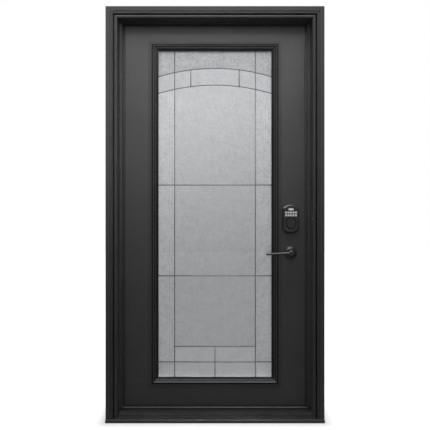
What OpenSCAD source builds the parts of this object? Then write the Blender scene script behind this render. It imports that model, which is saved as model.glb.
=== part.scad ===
// Black steel entry door hung in its own frame: a foam-filled slab of two folded steel skins with a tall
// decorative lite, a mitred frame with brickmould and a sloped sill, three butt hinges on the inside, a
// keypad deadbolt and a lever latch. It swings into the house.
// X runs to the right seen from outside, Y into the house and Z up. The origin lies on the underside of
// the sill, at mid width, in the plane of the slab's outer face.

/* [Slab] */
// Width of the slab
slab_w = 974; // [900:1:1050]
// Height of the slab
slab_h = 1969.5; // [1940:0.5:2060]
// Thickness of the slab over both skins
slab_t = 44.5; // [43:0.5:50]
// Height of the slab's lower edge above the floor
slab_z = 49.5; // [48.5:0.5:53]
// Thickness of the steel skins
skin_t = 0.8; // [0.5:0.1:1.2]
// How far a skin folds round the slab's upright edges
skin_fold = 14; // [10:0.5:15]
// Width of the stile that carries the hinges
hinge_stile_w = 40; // [32:1:60]
// Wood left beside the lock bores in the stile that takes them
lock_stile_wall = 16; // [8:1:30]
// Height of the rails at the top and bottom of the slab
rail_h = 40; // [25:1:44]
// Gap between the slab's edges and the frame
edge_gap = 3; // [2.6:0.1:4]

/* [Frame] */
// Thickness of the jambs
jamb_t = 32; // [30:0.5:40]
// Depth of the jambs from outside to inside
jamb_depth = 120.5; // [115:0.5:150]
// Width of the round bead on the jambs' outer edge
bead_w = 15; // [10:0.5:16]
// How far the bead stands out beside the brickmould
bead_out = 23; // [10:0.5:26]
// Width of the groove between bead and brickmould
groove_w = 6; // [3:0.5:8]
// How far the stop stands out from the jamb
stop_out = 13; // [11:0.5:15]
// Depth of the stop
stop_d = 12; // [11:0.5:16]
// Space for the weatherstrip between stop and slab
seal_gap = 10; // [8:0.5:12]
// How far the weatherstrip bulb reaches in from the jamb
seal_reach = 26; // [20:0.5:28]
// Height of the head's stop and weatherstrip as a share of their width at the sides
head_share = 0.5; // [0.45:0.05:0.95]
// Width of the brickmould
brick_w = 36; // [32:0.5:50]
// Thickness of the brickmould
brick_t = 26; // [22:0.5:32]
// Radius of the holes for the installation screws
anchor_r = 2.6; // [2:0.1:3.5]
// Height of the lowest installation screws on a jamb
anchor_low = 300; // [200:5:340]
// Distance from the head down to the highest installation screws
anchor_top = 272; // [180:1:300]
// Distance between the inner pair of installation screws on a jamb
anchor_inner = 450; // [300:10:560]

/* [Sill] */
// How far the nosing stands out in front of the brickmould
nose_out = 10; // [6:0.5:20]
// Height of the nosing's front edge
nose_h = 10.5; // [7:0.5:13]
// Height of the horns that the brickmould stands on
horn_h = 15.5; // [13:0.5:18]
// Height of the sloped deck at its back
deck_h = 31; // [26:0.5:32]
// Height of the narrow ledge behind the deck
ledge_h = 32.5; // [32:0.5:36]
// Depth of the ledge
ledge_d = 17; // [10:0.5:24]
// Height of the sill cap's top
cap_h = 46.5; // [42:0.5:47]
// How far the sill cap stands out in front of the slab
cap_out = 20; // [12:0.5:21]
// Wall of the aluminium deck
deck_t = 2.5; // [1.5:0.1:4]

/* [Lite] */
// Gap between the lite frame and the lock's escutcheon
lite_clear = 8; // [4:1:30]
// Height of the lite frame's lower edge above the slab's lower edge
lite_up = 95.5; // [80:0.5:140]
// Distance from the slab's upper edge down to the lite frame
lite_down = 87; // [80:0.5:140]
// Face width of the lite frame
lite_face = 48; // [46:0.5:56]
// How far the lite frame laps over the slab
lite_lap = 29; // [27:0.5:29.5]
// Depth of the glass behind the slab's outer face
glass_depth = 7; // [5:0.5:9]
// Thickness of the clear panes
pane_t = 3.2; // [3:0.1:4]
// Thickness of the decorative glass
deco_t = 3; // [2.5:0.1:4]
// Depth of each spacer between the panes
spacer_d = 8; // [6:0.5:9]
// Face width of the came
came_w = 6; // [4:0.2:10]
// Thickness of the came's flanges
came_flange = 0.6; // [0.4:0.1:1.5]
// Thickness of the web between the came's flanges
came_web = 1.4; // [1:0.1:2.5]
// Width of the glass border at each side
border_w = 84; // [60:1:110]
// Radius of the two arches in the glass
arch_r = 1020; // [900:10:1400]
// Drop of the upper arch below the top of the glass
arch_drop = 89; // [70:1:110]
// Distance between the two arches
arch_band = 87; // [60:1:110]
// Distance of the short bars between the arches from the border
arch_bar_in = 84; // [50:1:120]
// Heights of the full-width bars above the bottom of the glass
full_bars = [75, 523, 995]; // [60:1:1100]
// Height of the bar over the two panes at the bottom
foot_bar = 155; // [120:1:200]

/* [Hinges] */
// Height of a hinge
hinge_h = 102; // [89:1:127]
// Thickness of a leaf
leaf_t = 2.5; // [2:0.1:3]
// Depth of a leaf on the slab's edge
leaf_reach = 28; // [24:0.5:29]
// Radius of the barrel
barrel_r = 6; // [5.5:0.1:6.2]
// Radius of the pin
pin_r = 3.5; // [2.5:0.1:4]
// Number of knuckles
knuckles = 5; // [3:2:7]
// Distance from the slab's top to the middle of the top hinge
hinge_top = 229; // [180:1:300]
// Distance from the slab's bottom to the middle of the bottom hinge
hinge_bottom = 330; // [200:1:400]

/* [Lock] */
// Distance from the slab's edge to the lock axes
backset = 97; // [90:1:105]
// Height of the lever's axis
lever_z = 839; // [800:1:960]
// Distance from the lever's axis up to the deadbolt's axis
lock_pitch = 151; // [140:1:165]
// Radius of the bores through the slab
cross_r = 27; // [26:0.1:28]
// Radius of the bores in the slab's edge
edge_bore_r = 12.7; // [12.4:0.1:13.5]
// Throw of the latch bolt
latch_throw = 12.5; // [10:0.5:13]
// Throw of the deadbolt
bolt_throw = 25.4; // [20:0.2:26]
// Radius of the deadbolt
bolt_r = 9.5; // [8:0.1:9.9]
// Width of the keypad escutcheon
plate_w = 80; // [76:1:90]
// Height of the escutcheon below the deadbolt's axis
plate_down = 48; // [44:1:56]
// Height of the escutcheon above the deadbolt's axis
plate_up = 96; // [92:1:110]
// Depth of the escutcheon
plate_d = 25; // [22:0.5:30]
// Depth of the thumb-turn cover on the inside
cover_d = 30; // [26:0.5:40]
// Size of a number key
key_s = 9.5; // [8:0.1:11]
// Distance between number keys in a row
key_pitch_x = 12.7; // [12:0.1:13.5]
// Distance between the two rows of number keys
key_pitch_z = 14.4; // [12:0.1:15]
// Travel of a key
key_travel = 0.8; // [0.5:0.1:1.2]
// Radius of the lever's rose
rose_r = 35; // [33:0.5:40]
// Radius of the lever's neck
neck_r = 11; // [9:0.5:12]
// Distance from the slab's face to the end of the lever's hub
hub_out = 55; // [50:1:65]
// Length of the lever from its axis
lever_l = 130; // [100:1:140]
// Width of the square spindle
spindle_w = 7.6; // [6:0.1:8]

/* [Clearances] */
// Gap round a piece that is let into another
seat_gap = 0.1; // [0.05:0.05:0.2]
// Radial running clearance of pins, necks and plugs
run_gap = 0.06; // [0.02:0.01:0.1]
// Gap between other pieces that move past each other
move_gap = 0.3; // [0.2:0.05:0.5]

/* [Hidden] */
$fn = 64;

// Overshoot of cuts, so that they pass cleanly through a face
cut = 1;
paint = [0.09, 0.09, 0.1];
steel = [0.42, 0.42, 0.44];
wood = [0.72, 0.58, 0.4];
rubber = [0.13, 0.13, 0.14];
black = [0.12, 0.12, 0.13];
key_white = [0.92, 0.94, 0.96];

// Slab
slab_half = slab_w / 2;
slab_top = slab_z + slab_h;
slab_mid = slab_t / 2;
inner_x = slab_half - skin_t;
rib_gap = 0.3;
lock_stile_w = backset + cross_r + lock_stile_wall;

// Frame: every section is drawn from the jamb's inner face outwards
jamb_x = slab_half + edge_gap;
head_z = slab_top + edge_gap;
jamb_back = slab_t;
jamb_front = jamb_back - jamb_depth;
bead_r = bead_w / 2;
bead_y = jamb_front - bead_out + bead_r;
groove_d = 7.5;
stop_back = -seal_gap;
stop_front = stop_back - stop_d;
kerf_w = 2.5;
kerf_d = 8;
kerf_in = 5;
brick_in = bead_w + groove_w;
brick_front = jamb_front - brick_t;
brick_out = brick_in + brick_w;
anchor_y = stop_back / 2;
anchor_high = head_z - anchor_top;
anchor_mid_z = (anchor_low + anchor_high) / 2;
anchor_zs = [anchor_low, anchor_mid_z - anchor_inner / 2, anchor_mid_z + anchor_inner / 2, anchor_high];
mitre_reach = 200;

// Sill
nose_y = brick_front - nose_out;
cap_front = -cap_out;
ledge_front = cap_front - ledge_d;
core_h = ledge_h - deck_t;
groove_ys = [brick_front + 12, brick_front + 28];
cap_screw_y = slab_mid;
cap_screw_in = 140;
cap_screw_xs = [for (s = [-1:1]) s * (jamb_x - cap_screw_in)];
cap_screw_r = 4.5;
cap_screw_h = 4;

// Lite and glass
lite_half_w = slab_half - backset - plate_w / 2 - lite_clear;
lite_half_h = (slab_h - lite_up - lite_down) / 2;
lite_mid_z = slab_z + lite_up + lite_half_h;
cutout_half_w = lite_half_w - lite_lap;
cutout_half_h = lite_half_h - lite_lap;
spine_in = lite_lap + 2;
spine_w = 5;
unit_inset = spine_in + spine_w + 1;
unit_half_w = lite_half_w - unit_inset;
unit_half_h = lite_half_h - unit_inset;
sight_half_w = lite_half_w - lite_face;
sight_half_h = lite_half_h - lite_face;
sight_low = lite_mid_z - sight_half_h;
sight_high = lite_mid_z + sight_half_h;
spacer_w = 8;
deco_y = glass_depth + pane_t + spacer_d;
pane_in_y = deco_y + deco_t + spacer_d;
unit_back = pane_in_y + pane_t;
lite_screw_r = 1.6;
lite_screw_head = 3.2;
lite_screw_l = 36;
lite_screw_in = spine_in + spine_w / 2;
border_x = sight_half_w - border_w;
arch_bar_x = border_x - arch_bar_in;

// Hinges
pin_x = -(slab_half + edge_gap / 2);
pin_y = slab_t + barrel_r + 0.5;
hinge_zs = [slab_top - hinge_top, (slab_top - hinge_top + slab_z + hinge_bottom) / 2, slab_z + hinge_bottom];
leaf_front = slab_t - leaf_reach;
leaf_back = pin_y - barrel_r - 0.4;
knuckle_h = hinge_h / knuckles;
hinge_screw_r = 2.2;
hinge_screw_head = 4.2;
hinge_screw_l = 24;
hinge_screw_cone = 1.8;

// Lock
lock_x = slab_half - backset;
bolt_z = lever_z + lock_pitch;
face_plate_w = 25;
face_plate_h = 57;
face_plate_t = 2.5;
case_r = edge_bore_r - 0.8;
case_box_t = 14;
case_box_h = 28;
case_box_in = 18;
hub_hole_r = 6.5;
latch_t = 12.7;
latch_h = 17;
latch_tail = 46;
bolt_tail = bolt_throw + 31.6;
face_screw_z = 23;
face_screw_r = 1.8;
face_screw_l = 16;
strike_t = 2;
strike_h = 70;
strike_w = 30;
strike_lip = 4;
strike_screw_z = 28;
pocket_end = 3;
bolt_room = 2;
plate_arch = 15;
plate_bevel = 5;
plate_front = -plate_d;
cylinder_recess_r = 30.5;
cylinder_recess_d = 6;
cylinder_face_r = 22;
cylinder_base_r = 26;
cylinder_tail_r = 17;
cylinder_out = 3;
plug_r = 6.5;
plug_out = 0.6;
keyway_w = 1.8;
keyway_h = 9;
keyway_d = 18;
blade_w = 7.6;
blade_t = 2.4;
cover_wall = 2.5;
turn_hub_r = 9;
turn_l = 44;
turn_w = 11;
turn_d = 18;
key_out = 1.2;
key_l = 5;
key_front = plate_front - key_out;
key_corner_r = key_s * 0.6;
key_row_z = bolt_z + 49;
lock_key_w = 26;
lock_key_h = 11;
lock_key_z = bolt_z + 72.5;
rose_rim = 5;
rose_top = 8;
rose_step_r = rose_r - 13;
rose_step = 13;
sleeve_r = cross_r - 0.5;
sleeve_wall = 6.5;
sleeve_d = 9;
rose_screw_r = 2.2;
rose_screw_head = 2.9;
rose_screw_off = sleeve_r - sleeve_wall / 2;
hub_r = 13.5;
hub_len = 15;
tip_drop = 6;
grip_start = [7.5, 7.2];
grip_end = [5, 5.2];
grip_steps = 5;

// Sweep under the slab
sweep_kerf_ys = [12, slab_t - 12];
sweep_leg_w = 2;
sweep_leg_h = 9;

// Carry a drawing in X and Z through the depth from y0 to y1
module through_y(y0, y1) translate([0, y1, 0]) rotate([90, 0, 0]) linear_extrude(y1 - y0) children();

// Carry a section drawn in Y and Z along the width from x0 to x1
module along_x(x0, x1) translate([x0, 0, 0]) rotate([90, 0, 90]) linear_extrude(x1 - x0) children();

// Carry a section drawn in X and Y up from z0 to z1
module along_z(z0, z1) translate([0, 0, z0]) linear_extrude(z1 - z0) children();

// A rod along X, along Y
module rod_x(r, x0, x1, y, z) translate([x0, y, z]) rotate([0, 90, 0]) cylinder(r = r, h = x1 - x0);
module rod_y(r, y0, y1, x, z) translate([x, y1, z]) rotate([90, 0, 0]) cylinder(r = r, h = y1 - y0);

// A box between two corners
module block(a, b) translate(a) cube(b - a);

// Mirror copies across the slab's middle plane
module inside_out() translate([0, slab_t, 0]) mirror([0, 1, 0]) children();

// The space on the leg's side of the mitre at the right-hand top corner; share is the mitre's slope
module leg_space(share) through_y(nose_y - cut, pin_y + cut)
    polygon([
        [jamb_x - mitre_reach, -cut],
        [jamb_x + mitre_reach, -cut],
        [jamb_x + mitre_reach, head_z + share * mitre_reach],
        [jamb_x - mitre_reach, head_z - share * mitre_reach]
    ]);

// The space between the two mitres, for the head
module head_space(share) through_y(nose_y - cut, pin_y + cut)
    polygon([
        [-jamb_x + mitre_reach, head_z - share * mitre_reach],
        [jamb_x - mitre_reach, head_z - share * mitre_reach],
        [jamb_x + mitre_reach, head_z + share * mitre_reach],
        [-jamb_x - mitre_reach, head_z + share * mitre_reach]
    ]);

// A section carried up the right-hand leg from z0 to the mitre
module leg(z0, share = 1) intersection() {
    along_z(z0, head_z + mitre_reach) translate([jamb_x, 0]) children();
    leg_space(share);
}

// The same section carried across the head between the mitres, with its height scaled by the share
module head(share = 1) intersection() {
    translate([0, 0, head_z]) rotate([0, -90, 0])
        translate([0, 0, -jamb_x - mitre_reach]) linear_extrude(2 * (jamb_x + mitre_reach))
            scale([share, 1]) children();
    head_space(share);
    head_space(1);
}

// Jamb section: board, foot of the bead, and the seat of the brickmould
module jamb_section() {
    translate([0, jamb_front + groove_d]) square([jamb_t, jamb_depth - groove_d]);
    translate([0, jamb_front]) square([bead_w, groove_d + cut]);
    translate([brick_in, jamb_front]) square([jamb_t - brick_in, groove_d + cut]);
}

// Bead section: a strip with a round nose that stands out beside the brickmould
module bead_section() {
    translate([0, bead_y]) square([bead_w, jamb_front - bead_y + cut]);
    translate([bead_r, bead_y]) circle(bead_r);
}

// Stop section, with the kerf that holds the weatherstrip
module stop_section() difference() {
    translate([-stop_out, stop_front]) square([stop_out + cut, stop_d]);
    translate([-kerf_in, stop_back - kerf_d]) square([kerf_w, kerf_d + cut]);
}

// Weatherstrip section: foam bulb with a round nose, and the leg in the kerf
module weatherstrip_section() {
    bulb_r = (seal_gap - move_gap) / 2;
    translate([-seal_reach + bulb_r, stop_back]) square([seal_reach - bulb_r - seat_gap, 2 * bulb_r]);
    translate([-seal_reach + bulb_r, stop_back + bulb_r]) circle(bulb_r);
    translate([-kerf_in + seat_gap, stop_back - kerf_d + 0.5])
        square([kerf_w - 2 * seat_gap, kerf_d]);
}

// Brickmould section: broad face, a quirk, and a narrow fillet beside the jamb's bead
module brickmould_section() {
    fillet_w = 7;
    quirk_w = 5;
    quirk_d = 3.5;
    edge = 2;
    quirk_in = brick_in + fillet_w;
    quirk_out = quirk_in + quirk_w;
    polygon([
        [brick_in, jamb_front],
        [brick_in, brick_front + 1 + edge],
        [brick_in + edge, brick_front + 1],
        [quirk_in - 1, brick_front + 1],
        [quirk_in + 1, brick_front + quirk_d],
        [quirk_out - 1, brick_front + quirk_d],
        [quirk_out + edge / 2, brick_front],
        [brick_out - edge, brick_front],
        [brick_out, brick_front + edge],
        [brick_out, jamb_front]
    ]);
}

// Holes for the installation screws, hidden behind the weatherstrip
module anchor_holes() for (z = anchor_zs) rod_x(anchor_r, jamb_x - cut, jamb_x + jamb_t + cut, anchor_y, z);

// One right-hand jamb leg with its bead and its stop
module jamb_leg() difference() {
    union() {
        leg(0) jamb_section();
        leg(horn_h) bead_section();
        leg(cap_h, head_share) stop_section();
    }
    anchor_holes();
}

// The recess for one hinge leaf; side is -1 on the jamb and 1 on the slab
module leaf_recess(side) for (z = hinge_zs)
    block(
        [pin_x + (side < 0 ? -edge_gap / 2 - leaf_t : 0), leaf_front - seat_gap, z - hinge_h / 2 - seat_gap],
        [pin_x + (side < 0 ? 0 : edge_gap / 2 + leaf_t), slab_t + cut, z + hinge_h / 2 + seat_gap]
    );

// The four screws of each leaf, pointing away from the pin; grow widens them into holes
module leaf_screws(side, grow) for (z = hinge_zs, dz = [-0.38, -0.14, 0.14, 0.38]) {
    y = leaf_front + (abs(dz) > 0.2 ? 0.35 : 0.65) * leaf_reach;
    translate([pin_x + side * edge_gap / 2, y, z + dz * hinge_h]) rotate([0, side * 90, 0]) {
        cylinder(r1 = hinge_screw_head + grow, r2 = hinge_screw_r + grow, h = hinge_screw_cone);
        cylinder(r = hinge_screw_r + grow, h = hinge_screw_l + grow);
    }
}

module jamb_hinge_side() color(paint) difference() {
    mirror([1, 0, 0]) jamb_leg();
    leaf_recess(-1);
    leaf_screws(-1, seat_gap);
}

// Strike plate on the jamb, as far as the jamb's inner edge and a lip past it; the child draws its hole
module strike_plate(z, lip) difference() {
    union() {
        block([jamb_x, slab_mid - strike_w / 2, z - strike_h / 2],
              [jamb_x + strike_t, slab_mid + strike_w / 2, z + strike_h / 2]);
        block([jamb_x, slab_mid, z - strike_h / 4], [jamb_x + strike_t, jamb_back + lip, z + strike_h / 4]);
    }
    children();
    strike_screws(z, seat_gap);
}

module strike_screws(z, grow) for (dz = [-strike_screw_z, strike_screw_z])
    translate([jamb_x, slab_mid, z + dz]) rotate([0, 90, 0]) {
        cylinder(r1 = hinge_screw_head + grow, r2 = hinge_screw_r + grow, h = hinge_screw_cone);
        cylinder(r = hinge_screw_r + grow, h = hinge_screw_l + grow);
    }

module strike_recess(z) {
    block([jamb_x - cut, slab_mid - strike_w / 2 - seat_gap, z - strike_h / 2 - seat_gap],
          [jamb_x + strike_t, slab_mid + strike_w / 2 + seat_gap, z + strike_h / 2 + seat_gap]);
    block([jamb_x - cut, slab_mid, z - strike_h / 4 - seat_gap],
          [jamb_x + strike_t, jamb_back + cut, z + strike_h / 4 + seat_gap]);
}

// The hole that the latch bolt or the deadbolt enters
module latch_hole() {
    half_t = latch_t / 2 + bolt_room;
    half_h = latch_h / 2 + bolt_room;
    block([jamb_x - cut, slab_mid - half_t, lever_z - half_h],
          [slab_half + latch_throw + pocket_end, slab_mid + half_t, lever_z + half_h]);
}
module deadbolt_hole()
    rod_x(bolt_r + bolt_room, jamb_x - cut, slab_half + bolt_throw + pocket_end, slab_mid, bolt_z);

module jamb_strike_side() color(paint) difference() {
    jamb_leg();
    for (z = [lever_z, bolt_z]) {
        strike_recess(z);
        strike_screws(z, seat_gap);
    }
    latch_hole();
    deadbolt_hole();
}

module jamb_head() color(paint) {
    head() {
        jamb_section();
        bead_section();
    }
    head(head_share) stop_section();
}

module brickmould_right() color(paint) leg(horn_h) brickmould_section();
module brickmould_left() color(paint) mirror([1, 0, 0]) leg(horn_h) brickmould_section();
module brickmould_head() color(paint) head() brickmould_section();

module weatherstrip_strike_side() color(rubber) leg(cap_h, head_share) weatherstrip_section();
module weatherstrip_hinge_side() color(rubber) mirror([1, 0, 0])
    leg(cap_h, head_share) weatherstrip_section();
module weatherstrip_head() color(rubber) head(head_share) weatherstrip_section();

// The deck's upper line from the nosing to the cap, lowered by the wall for its underside
function deck_line(drop) = [
    [nose_y + drop, nose_h - drop],
    [brick_front + drop / 4, horn_h - drop],
    [ledge_front, deck_h - drop],
    [ledge_front, ledge_h - drop],
    [cap_front, ledge_h - drop]
];
function horn_line(drop) = [
    [nose_y + drop, nose_h - drop],
    [brick_front + drop / 4, horn_h - drop],
    [jamb_front, horn_h - drop]
];
function backwards(line) = [for (i = [len(line) - 1:-1:0]) line[i]];

// A thin section between a line and the same line one wall lower
module deck_wall(outer, inner)
    polygon(concat([[nose_y, 0]], outer, backwards(inner), [[nose_y + deck_t, 0]]));

module sill_deck() color(steel) {
    difference() {
        along_x(-jamb_x, jamb_x) deck_wall(deck_line(0), deck_line(deck_t));
        for (y = groove_ys)
            block([-jamb_x - cut, y, deck_z_at(y) - 0.9], [jamb_x + cut, y + 2.2, deck_h]);
    }
    for (x = [-jamb_x - brick_out, jamb_x])
        along_x(x, x + brick_out) deck_wall(horn_line(0), horn_line(deck_t));
}

// Height of the sloped deck at a depth y
function deck_z_at(y) = horn_h + (deck_h - horn_h) * (y - brick_front) / (ledge_front - brick_front);

module sill_core() color([0.3, 0.3, 0.31]) difference() {
    union() {
        along_x(-jamb_x, jamb_x) polygon(concat(
            [[nose_y + deck_t, 0]], deck_line(deck_t), [[jamb_back, core_h], [jamb_back, 0]]));
        for (x = [-jamb_x - brick_out, jamb_x])
            along_x(x, x + brick_out) polygon(concat(
                [[nose_y + deck_t, 0]], horn_line(deck_t), [[jamb_front, 0]]));
    }
    cap_screws(seat_gap, cut);
}

// Cap under the door, raised or lowered with its adjusting screws
module sill_cap() color([0.16, 0.16, 0.17]) difference() {
    edge = 2;
    along_x(-jamb_x, jamb_x) polygon([
        [cap_front, core_h],
        [cap_front, cap_h - edge],
        [cap_front + edge, cap_h],
        [jamb_back - 2 * edge, cap_h],
        [jamb_back, cap_h - 2 * edge],
        [jamb_back, core_h]
    ]);
    cap_screws(seat_gap, cut);
}

// Adjusting screws of the cap; grow widens them into holes, and open carries the holes out of the top
module cap_screws(grow, open) for (x = cap_screw_xs) translate([x, cap_screw_y, 0]) {
    head_low = cap_h - cap_screw_h - 0.5;
    translate([0, 0, head_low]) cylinder(r = cap_screw_r + grow, h = cap_screw_h + 2 * open);
    translate([0, 0, deck_t]) cylinder(r = cap_screw_r / 2 + grow, h = head_low - deck_t + 0.1);
}

module latch_strike() color(steel) strike_plate(lever_z, strike_lip) latch_hole();
module deadbolt_strike() color(steel) strike_plate(bolt_z, 0) deadbolt_hole();

// One hinge leaf with its knuckles; side is -1 on the jamb and 1 on the slab
module leaf(side) difference() {
    inner = edge_gap / 2;
    x0 = side < 0 ? -inner - leaf_t : inner;
    own = [for (k = [side < 0 ? 0 : 1:2:knuckles - 1]) k];
    union() {
        block([x0, leaf_front - pin_y, -hinge_h / 2], [x0 + leaf_t, leaf_back - pin_y, hinge_h / 2]);
        for (k = own) translate([0, 0, -hinge_h / 2 + k * knuckle_h + move_gap / 2]) {
            cylinder(r = barrel_r, h = knuckle_h - move_gap);
            block([x0, leaf_front - pin_y, 0], [x0 + leaf_t, 0, knuckle_h - move_gap]);
        }
    }
    translate([0, 0, -hinge_h]) cylinder(r = pin_r + run_gap, h = 2 * hinge_h);
}

module leaves(side) difference() {
    for (z = hinge_zs) translate([pin_x, pin_y, z]) leaf(side);
    leaf_screws(side, seat_gap);
}

module hinge_frame_leaves() color(steel) leaves(-1);
module hinge_door_leaves() color(steel) leaves(1);

// Loose pins with a button head above and a rounded end below
module hinge_pins() color(steel) for (z = hinge_zs) translate([pin_x, pin_y, z]) {
    head_h = 3.5;
    translate([0, 0, -hinge_h / 2 - 1]) cylinder(r = pin_r, h = hinge_h + 1);
    translate([0, 0, hinge_h / 2]) cylinder(r = barrel_r - 0.5, h = head_h - 1.5);
    translate([0, 0, hinge_h / 2 + head_h - 1.5]) cylinder(r1 = barrel_r - 0.5, r2 = barrel_r - 2, h = 1.5);
    translate([0, 0, -hinge_h / 2 - 2.5]) cylinder(r1 = pin_r - 1.2, r2 = pin_r, h = 1.5);
}

module frame_screws() color(steel) {
    leaf_screws(-1, 0);
    for (z = [lever_z, bolt_z]) strike_screws(z, 0);
    cap_screws(0, 0);
}

// Slab outline with the lite cut-out and the two lock bores
module skin_outline() difference() {
    translate([-slab_half, slab_z]) square([slab_w, slab_h]);
    lite_hole();
    for (z = [lever_z, bolt_z]) translate([lock_x, z]) circle(cross_r);
}

module lite_hole() translate([-cutout_half_w, lite_mid_z - cutout_half_h])
    square([2 * cutout_half_w, 2 * cutout_half_h]);

// Recesses in the slab's lock edge for the face plates of latch and deadbolt
module face_recess() for (z = [lever_z, bolt_z])
    block([slab_half - face_plate_t, slab_mid - face_plate_w / 2 - seat_gap, z - face_plate_h / 2 - seat_gap],
          [slab_half + cut, slab_mid + face_plate_w / 2 + seat_gap, z + face_plate_h / 2 + seat_gap]);

// One skin: a flat sheet with both upright edges folded back
module skin() difference() {
    union() {
        through_y(0, skin_t) skin_outline();
        for (x = [-slab_half, inner_x])
            block([x, 0, slab_z], [x + skin_t, skin_fold, slab_top]);
    }
    face_recess();
}

module skin_exterior() color(paint) skin();
module skin_interior() color(paint) difference() {
    inside_out() skin();
    leaf_recess(1);
}

// A stile between the skins, with a rib that fills the gap between their folded edges
module stile(w) {
    block([slab_half - w, skin_t, slab_z], [inner_x, slab_t - skin_t, slab_top]);
    block([inner_x - cut, skin_fold + rib_gap, slab_z], [slab_half, slab_t - skin_fold - rib_gap, slab_top]);
}

module hinge_stile() color(wood) difference() {
    mirror([1, 0, 0]) stile(hinge_stile_w);
    leaf_recess(1);
    leaf_screws(1, seat_gap);
}

module lock_stile() color(wood) difference() {
    stile(lock_stile_w);
    for (z = [lever_z, bolt_z]) {
        rod_y(cross_r, -cut, slab_t + cut, lock_x, z);
        rod_x(edge_bore_r, lock_x, slab_half + cut, slab_mid, z);
        face_screws(z, seat_gap);
    }
    face_recess();
}

module rail(z0) block([-slab_half + hinge_stile_w, skin_t, z0],
                      [slab_half - lock_stile_w, slab_t - skin_t, z0 + rail_h]);
module top_rail() color(wood) rail(slab_top - rail_h);
module bottom_rail() color(wood) difference() {
    rail(slab_z);
    sweep_legs(seat_gap, slab_half);
}

module foam_core() color([0.93, 0.9, 0.78]) through_y(skin_t, slab_t - skin_t) difference() {
    translate([-slab_half + hinge_stile_w, slab_z + rail_h])
        square([slab_w - hinge_stile_w - lock_stile_w, slab_h - 2 * rail_h]);
    lite_hole();
}

// Lite frame section, from its outer edge inwards; depth is where its lip meets the glass
module lite_section(depth) polygon([
    [0, 0],
    [0, -3],
    [1, -4],
    [14, -4],
    [15, -1],
    [18.5, -1],
    [19.5, -9],
    [21, -10],
    [24, -10],
    [lite_face - 16.5, -5],
    [lite_face - 15.5, -5],
    [lite_face - 8.5, -0.5],
    [lite_face - 7.5, -0.5],
    [lite_face, depth - 3.5],
    [lite_face, depth],
    [spine_in + spine_w, depth],
    [spine_in + spine_w, slab_mid - 2.2],
    [spine_in, slab_mid - 2.2],
    [spine_in, 0]
]);

// One bar of the lite frame, mitred at both ends
module lite_bar(half_w, half_h) intersection() {
    along_z(-half_h, half_h) translate([-half_w, 0]) children();
    through_y(-mitre_reach, mitre_reach) polygon([
        [-half_w - cut, -half_h - cut],
        [-half_w + 2 * lite_face, -half_h + 2 * lite_face],
        [-half_w + 2 * lite_face, half_h - 2 * lite_face],
        [-half_w - cut, half_h + cut]
    ]);
}

// Four bars round the glass, as one moulded frame
module lite_ring() translate([0, 0, lite_mid_z]) {
    for (m = [0, 1]) mirror([m, 0, 0]) lite_bar(lite_half_w, lite_half_h) children();
    for (m = [0, 1]) mirror([0, 0, m]) rotate([0, -90, 0]) lite_bar(lite_half_h, lite_half_w) children();
}

// Screws that draw the two lite frames together, driven from inside; open carries their holes out
module lite_screws(grow, open) {
    across = lite_half_w - lite_screw_in;
    upright = lite_half_h - lite_screw_in;
    spots = concat(
        [for (s = [-1, 1], i = [-5:2:5]) [s * across, lite_mid_z + i * upright / 6]],
        [for (s = [-1, 1], i = [-1:1]) [i * across * 0.6, lite_mid_z + s * upright]]
    );
    for (p = spots) {
        rod_y(lite_screw_r + grow, slab_t - lite_screw_l - grow, slab_t + 0.8, p.x, p.y);
        rod_y(lite_screw_head + grow, slab_t + 0.8, slab_t + 2.2 + open, p.x, p.y);
    }
}

module lite_frame_exterior() color(paint) difference() {
    lite_ring() lite_section(glass_depth);
    lite_screws(seat_gap, 20);
}

module lite_frame_interior() color(paint) difference() {
    inside_out() lite_ring() lite_section(slab_t - unit_back);
    lite_screws(seat_gap, 20);
}

// A sheet of the glazed unit, inset from the unit's edge
module sheet(inset) translate([-unit_half_w + inset, lite_mid_z - unit_half_h + inset])
    square([2 * (unit_half_w - inset), 2 * (unit_half_h - inset)]);

module glass_exterior() color([0.85, 0.9, 0.9, 0.3]) through_y(glass_depth, glass_depth + pane_t) sheet(0);
module glass_interior() color([0.85, 0.9, 0.9, 0.3]) through_y(pane_in_y, unit_back) sheet(0);

module glass_spacers() color(steel) for (y = [glass_depth + pane_t, deco_y + deco_t])
    through_y(y, y + spacer_d) difference() {
        sheet(0.5);
        sheet(spacer_w);
    }

// An upright or level bar of the came pattern
module bar_v(x, z0, z1, w) translate([x - w / 2, z0]) square([w, z1 - z0]);
module bar_h(z, x0, x1, w) translate([x0, z - w / 2]) square([x1 - x0, w]);

// One arch of the came, across the whole unit, with its crown at height z
module arch(z, w) intersection() {
    translate([0, z - arch_r]) difference() {
        circle(arch_r + w / 2, $fn = 256);
        circle(arch_r - w / 2, $fn = 256);
    }
    translate([-unit_half_w, z - arch_r / 2]) square([2 * unit_half_w, arch_r]);
}

// Height of an arch with its crown at z, at a distance x from the middle
function arch_at(z, x) = z - arch_r + sqrt(arch_r * arch_r - x * x);

// Every line of the came pattern, at one width
module came_lines(w) {
    arch_top = sight_high - arch_drop;
    arch_low = arch_top - arch_band;
    low = lite_mid_z - unit_half_h;
    for (s = [-1, 1]) {
        bar_v(s * border_x, low, lite_mid_z + unit_half_h, w);
        bar_v(s * arch_bar_x, arch_at(arch_low, arch_bar_x), arch_at(arch_top, arch_bar_x), w);
    }
    for (z = full_bars) bar_h(sight_low + z, -unit_half_w, unit_half_w, w);
    bar_h(sight_low + foot_bar, -border_x, border_x, w);
    bar_v(0, low, sight_low + foot_bar, w);
    for (z = [arch_top, arch_low]) arch(z, w);
}

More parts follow.
